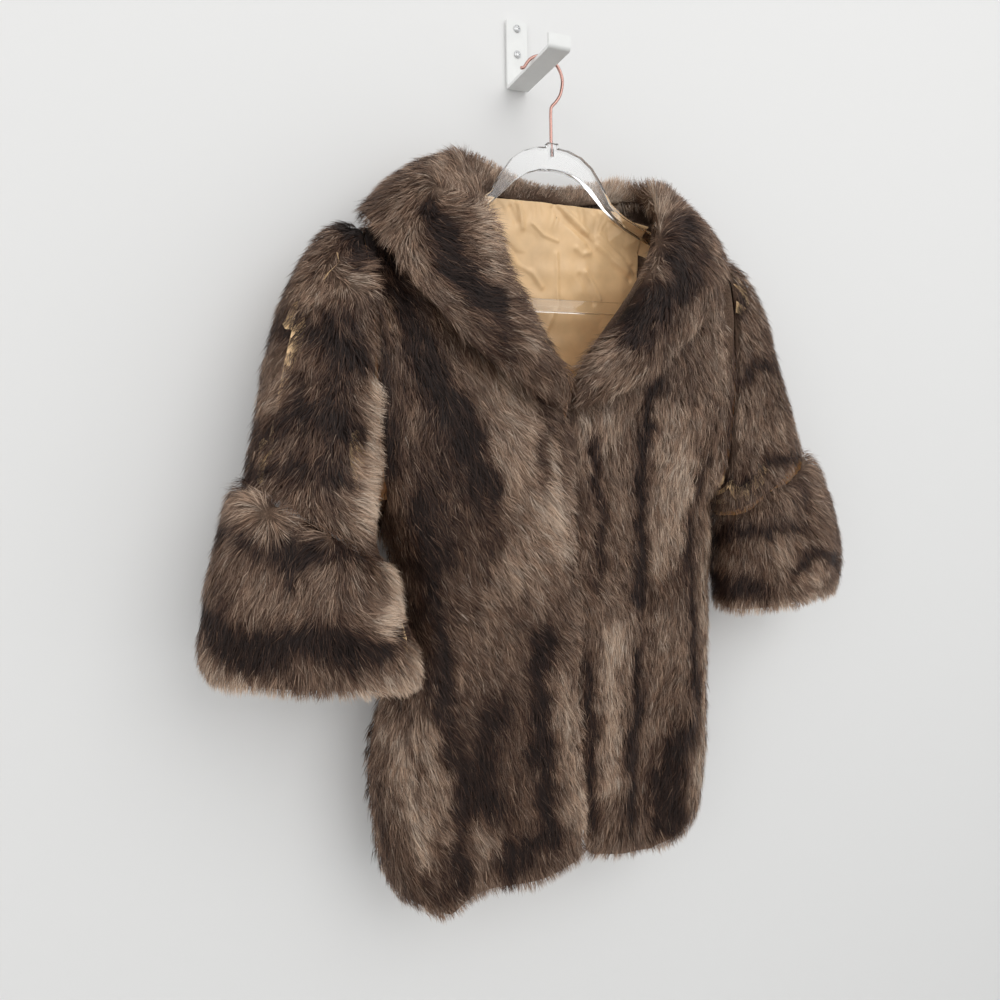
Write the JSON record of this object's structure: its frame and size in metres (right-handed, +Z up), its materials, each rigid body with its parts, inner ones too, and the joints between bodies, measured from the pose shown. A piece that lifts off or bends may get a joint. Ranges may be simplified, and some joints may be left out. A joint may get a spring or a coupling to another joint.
{
  "type": "fur jacket on a hanger and wall bracket",
  "caption": "Open-front fur jacket with a shawl collar and wide cuffed sleeves, held on a clear hanger hooked over a wall bracket by its wall plate.",
  "frame": {"origin": "centre of the wall plate's back face, midway between its two screws", "axes": "+Y into the wall, +Z up, +X to the right seen from the room; the room is on the -Y side"},
  "size_m": [0.6962, 0.1504, 0.8462],
  "materials": {
    "fur_body": "deep mink-brown pile with darker pelt stripes",
    "fur_sleeve": "mink-brown pile with darker cross bands",
    "fur_cuff": "mink-brown pile, fuller, paler tips",
    "fur_collar": "mink-brown pile with dark slanting stripes",
    "lining": "golden tan satin",
    "hanger_clear": "clear moulded plastic",
    "hook_wire": "rose-gold plated wire",
    "bracket_paint": "white powder coat",
    "screw_steel": "zinc-plated steel"
  },
  "bodies": {
    "root": {"back": "fur_body", "front_left": "fur_body", "front_right": "fur_body", "sleeve_left": "fur_sleeve", "sleeve_right": "fur_sleeve", "cuff_left": "fur_cuff", "cuff_right": "fur_cuff", "collar": "fur_collar", "lining_back": "lining", "hanger_body": "hanger_clear", "hanger_hook": "hook_wire", "wall_bracket": "bracket_paint", "screw_upper": "screw_steel", "screw_lower": "screw_steel"}
  },
  "joints": []
}
